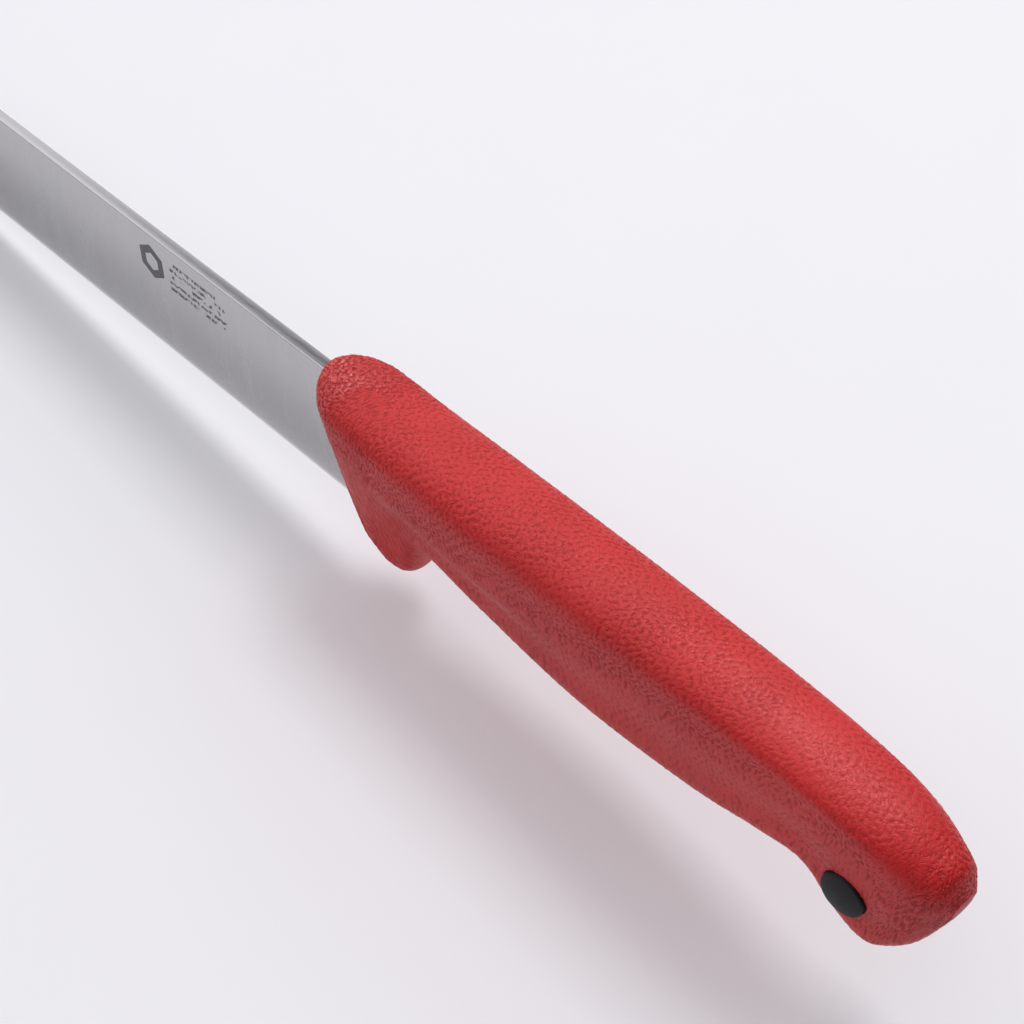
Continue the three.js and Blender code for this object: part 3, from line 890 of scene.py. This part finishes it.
def hard_black(name, sizes, coarse):
    """Hard plastic with the fine matt grain of its mould."""
    finish = Finish(name)
    grain = finish.noise(4200, detail=2, roughness=0.6)
    clouds = finish.noise(160, detail=2)
    lighter = opaque([c * 1.5 for c in sizes.black])
    finish.feed(finish.shader.inputs["Base Color"], finish.mix(clouds, opaque(sizes.black), lighter))
    finish.feed(finish.shader.inputs["Roughness"], finish.band(grain, 0.3, 0.7, 0.42, 0.56))
    finish.shader.inputs["Specular IOR Level"].default_value = 0.22
    finish.feed(finish.shader.inputs["Normal"], finish.bump(grain, coarse, 0.6))
    return finish.material


PIN_LENGTH = 3 * MM
PIN_RADIUS = 1.2 * MM
PIN_ROUND = 0.2 * MM
PIN_GAP = 0.3 * MM


def plug_profile(sizes, has_pin):
    """Radius and distance from the mid-plane, from the inner end to the middle of the dome."""
    crown_y = PLUG_CROWN_Y
    rim_y = crown_y - sizes.crown
    shank = sizes.shank / 2
    inner = PIN_GAP / 2
    if has_pin:
        end = inner - PIN_LENGTH
        points = [(0, end), (PIN_RADIUS - PIN_ROUND, end)]
        points += [(PIN_RADIUS, end + PIN_ROUND), (PIN_RADIUS, inner)]
    else:
        depth, socket = PIN_LENGTH + PIN_GAP, PIN_RADIUS + PIN_GAP
        points = [(0, depth), (socket, depth), (socket, inner)]
    points += [(shank, inner), (shank, rim_y - sizes.head), (PLUG_RADIUS, rim_y - sizes.head)]
    for angle in np.radians(np.linspace(0, 78, 9)):
        radius = PLUG_RADIUS - sizes.rim_round * (1 - math.cos(angle))
        points.append((radius, rim_y - sizes.rim_round * (1 - math.sin(angle))))
    flat = PLUG_RADIUS - sizes.rim_round
    for step in np.linspace(0.94, 0.06, 12):
        points.append((flat * step, crown_y - sizes.crown * step**2))
    return points + [(0, crown_y)]


class MESH_OT_knife_plugs(bpy.types.Operator):
    """Turns the two round plugs, one with a pin and one with the socket for it"""

    bl_idname = "mesh.knife_plugs"
    bl_label = "Plugs"

    def execute(self, context):
        sizes = context.scene.knife_plugs
        made = hard_black("hard black plastic", sizes, 0.012 * MM)
        for name, outward, has_pin in (("plug_left", -1, True), ("plug_right", 1, False)):
            profile = plug_profile(sizes, has_pin)
            plug = turned(name + "_turned", profile, ROUND_SIDES, (PLUG_X, PLUG_Z), outward)
            if signed_volume(plug.data) < 0:
                plug.data.flip_normals()
            shade(plug, 32)
            plug.data.materials.append(made)
            finish_piece(plug, "plug_black", name)
        return {"FINISHED"}


class MESH_OT_knife_core(bpy.types.Operator):
    """Gives the hard core inside the grip its moulded finish"""

    bl_idname = "mesh.knife_core"
    bl_label = "Core"

    def execute(self, context):
        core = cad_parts["handle_core"]
        made = hard_black("moulded core plastic", context.scene.knife_plugs, 0.03 * MM)
        if not core.material_slots:
            raise RuntimeError("the core has no material slot to fill")
        for slot in core.material_slots:
            slot.material = made
        return {"FINISHED"}


# ---------------------------------------------------------------- the stage


def floor_finish(sizes):
    finish = Finish("pale floor")
    haze = finish.noise(30, detail=2)
    pale = opaque([c * 0.985 for c in sizes.floor])
    sheet = finish.mix(haze, pale, opaque(sizes.floor))
    # Painted pool of light: the floor stays pale within the reach around the knife and is painted dim
    # farther out.
    middle = finish.add("ShaderNodeVectorMath", operation="DISTANCE")
    finish.feed(middle.inputs[0], finish.place)
    middle.inputs[1].default_value = (0, 0.6 * sizes.lit_pool_reach, 0)
    outside_pool = finish.band(middle.outputs["Value"], sizes.lit_pool_reach, 1.6 * sizes.lit_pool_reach)
    finish.feed(finish.shader.inputs["Base Color"], finish.mix(outside_pool, sheet, opaque(sizes.unlit_floor)))
    finish.shader.inputs["Roughness"].default_value = 0.75
    finish.shader.inputs["Specular IOR Level"].default_value = 0.2
    return finish.material


GUARD_RIB = 3  # whose lower end is the tip of the guard
FLOOR_RADIUS = 4.0
FLOOR_SIDES = 96


def lay_floor(sizes):
    """A round floor clear of the knife, a set way under the guard and rising towards the tip."""
    guard_x = FRONT_X + ribs(bpy.context.scene.knife_grip)[GUARD_RIB].bottom_x * MM
    angles = np.linspace(0, 2 * math.pi, FLOOR_SIDES, endpoint=False)
    vertices = [(0, 0, 0)] + [(FLOOR_RADIUS * math.cos(a), FLOOR_RADIUS * math.sin(a), 0) for a in angles]
    faces = [(0, k, k % FLOOR_SIDES + 1) for k in range(1, FLOOR_SIDES + 1)]
    mesh = bpy.data.meshes.new("floor")
    mesh.from_pydata(vertices, [], faces)
    floor = bpy.data.objects.new("floor", mesh)
    bpy.context.scene.collection.objects.link(floor)
    under_guard = Matrix.Translation((guard_x, 0, GUARD_Z - sizes.lift))
    floor.matrix_world = under_guard @ Matrix.Rotation(sizes.lean, 4, "Y")
    mesh.materials.append(floor_finish(sizes))


def area_light(name, place, aim, power, side):
    lamp = bpy.data.lights.new(name, "AREA")
    lamp.shape = "RECTANGLE"
    lamp.size = side
    lamp.size_y = side
    lamp.energy = power
    made = bpy.data.objects.new(name, lamp)
    made.location = place
    made.rotation_euler = (Vector(aim) - Vector(place)).to_track_quat("-Z", "Y").to_euler()
    bpy.context.scene.collection.objects.link(made)


BRIGHT_SIDE = (-0.5, 0.15, 0.85)  # a direction from the knife, as the next one is
DARK_CORNER = (-0.55, 0.45, 0.71)
CORNER_RIM, CORNER_MIDDLE = 13, 7  # in degrees from the corner's middle: where it starts, and is darkest
PALE_LIGHT = (0.98, 0.975, 1.0)
CORNER_LIGHT = (0.06, 0.06, 0.07)


def facing_share(tree, direction, toward, limits):
    """How nearly each direction of the room points toward one place, by the limits of a map range."""
    facing = tree.nodes.new("ShaderNodeVectorMath")
    facing.operation = "DOT_PRODUCT"
    tree.links.new(direction, facing.inputs[0])
    facing.inputs[1].default_value = Vector(toward).normalized()
    made = tree.nodes.new("ShaderNodeMapRange")
    tree.links.new(facing.outputs["Value"], made.inputs[0])
    for index, limit in enumerate(limits, start=1):
        made.inputs[index].default_value = limit
    return made


def light_room(sizes):
    """A room brightest above the blade and dark low down, with one dark corner that the spine mirrors."""
    world = bpy.data.worlds.new("room")
    world.use_nodes = True
    bpy.context.scene.world = world
    tree = world.node_tree
    ground = tree.nodes["Background"]
    ground.inputs["Strength"].default_value = sizes.room
    direction = tree.nodes.new("ShaderNodeTexCoord").outputs["Generated"]
    sky = facing_share(tree, direction, BRIGHT_SIDE, (0.1, 1.0, sizes.horizon, 1.0))
    rim, middle = (math.cos(math.radians(angle)) for angle in (CORNER_RIM, CORNER_MIDDLE))
    corner = facing_share(tree, direction, DARK_CORNER, (rim, middle, 0.0, 1.0))
    corner.interpolation_type = "SMOOTHSTEP"
    blend = tree.nodes.new("ShaderNodeMix")
    blend.data_type = "RGBA"
    tree.links.new(corner.outputs["Result"], blend.inputs[0])
    blend.inputs[6].default_value = opaque(PALE_LIGHT)
    blend.inputs[7].default_value = opaque(CORNER_LIGHT)
    graded = tree.nodes.new("ShaderNodeVectorMath")
    graded.operation = "SCALE"
    tree.links.new(blend.outputs[2], graded.inputs[0])
    tree.links.new(sky.outputs["Result"], graded.inputs["Scale"])
    tree.links.new(graded.outputs[0], ground.inputs["Color"])


SENSOR_WIDTH = 36  # in millimetres, as the lens is


def place_camera(sizes):
    aim = Vector((FRONT_X + sizes.aim_x, 0, SPINE_Z - sizes.aim_drop))
    level = math.cos(sizes.elevation)
    x, y = math.sin(sizes.azimuth) * level, -math.cos(sizes.azimuth) * level
    back = Vector((x, y, math.sin(sizes.elevation)))
    data = bpy.data.cameras.new("camera")
    data.lens = sizes.lens
    data.sensor_width = SENSOR_WIDTH
    data.clip_start = 0.01
    camera = bpy.data.objects.new("camera", data)
    upright = back.to_track_quat("Z", "Y")
    rolled = Matrix.Rotation(sizes.roll, 4, back)
    stand = Matrix.Translation(aim + back * sizes.distance)
    camera.matrix_world = stand @ rolled @ upright.to_matrix().to_4x4()
    bpy.context.scene.collection.objects.link(camera)
    bpy.context.scene.camera = camera


class SCENE_OT_knife_stage(bpy.types.Operator):
    """Lays the floor, hangs the lights and sets up the camera"""

    bl_idname = "scene.knife_stage"
    bl_label = "Stage"

    def execute(self, context):
        sizes = context.scene.knife_stage
        context.scene.view_settings.view_transform = "Standard"
        lay_floor(sizes)
        light_room(sizes)
        middle = Vector((FRONT_X + sizes.aim_x, 0, SPINE_Z))
        level = math.cos(sizes.key_height)
        x, y = math.sin(sizes.key_side) * level, math.cos(sizes.key_side) * level
        toward = Vector((x, y, math.sin(sizes.key_height)))
        place = middle + toward * sizes.key_distance
        area_light("key", place, middle, sizes.key, sizes.key_size)
        place_camera(sizes)
        return {"FINISHED"}


class VIEW3D_PT_knife(bpy.types.Panel):
    """Lists the knife's pieces, with the sizes and colours of each"""

    bl_idname = "VIEW3D_PT_knife"
    bl_label = "Slicing knife"
    bl_space_type = "VIEW_3D"
    bl_region_type = "UI"
    bl_category = "Knife"

    def draw(self, context):
        for operator, group in PIECES:
            box = self.layout.box()
            box.operator(operator)
            if group is not None:
                for key in getattr(context.scene, group).__annotations__:
                    box.prop(getattr(context.scene, group), key)


# Each operator, in the order of making, with the group of sizes that it takes
PIECES = (
    ("mesh.knife_blade", "knife_blade"),
    ("mesh.knife_core", None),
    ("mesh.knife_grip", "knife_grip"),
    ("mesh.knife_plugs", "knife_plugs"),
    ("scene.knife_stage", "knife_stage"),
)
GROUPS = {
    "knife_blade": KnifeBlade,
    "knife_grip": KnifeGrip,
    "knife_plugs": KnifePlugs,
    "knife_stage": KnifeStage,
}
CLASSES = (
    *GROUPS.values(),
    MESH_OT_knife_blade,
    MESH_OT_knife_core,
    MESH_OT_knife_grip,
    MESH_OT_knife_plugs,
    SCENE_OT_knife_stage,
    VIEW3D_PT_knife,
)


def register():
    for made in CLASSES:
        bpy.utils.register_class(made)
    for name, group in GROUPS.items():
        setattr(bpy.types.Scene, name, PointerProperty(type=group))


def unregister():
    for name in GROUPS:
        delattr(bpy.types.Scene, name)
    for made in reversed(CLASSES):
        bpy.utils.unregister_class(made)


def main():
    register()
    bpy.ops.mesh.knife_blade()
    bpy.ops.mesh.knife_core()
    bpy.ops.mesh.knife_grip()
    bpy.ops.mesh.knife_plugs()
    bpy.ops.scene.knife_stage()


if __name__ == "__main__":
    main()
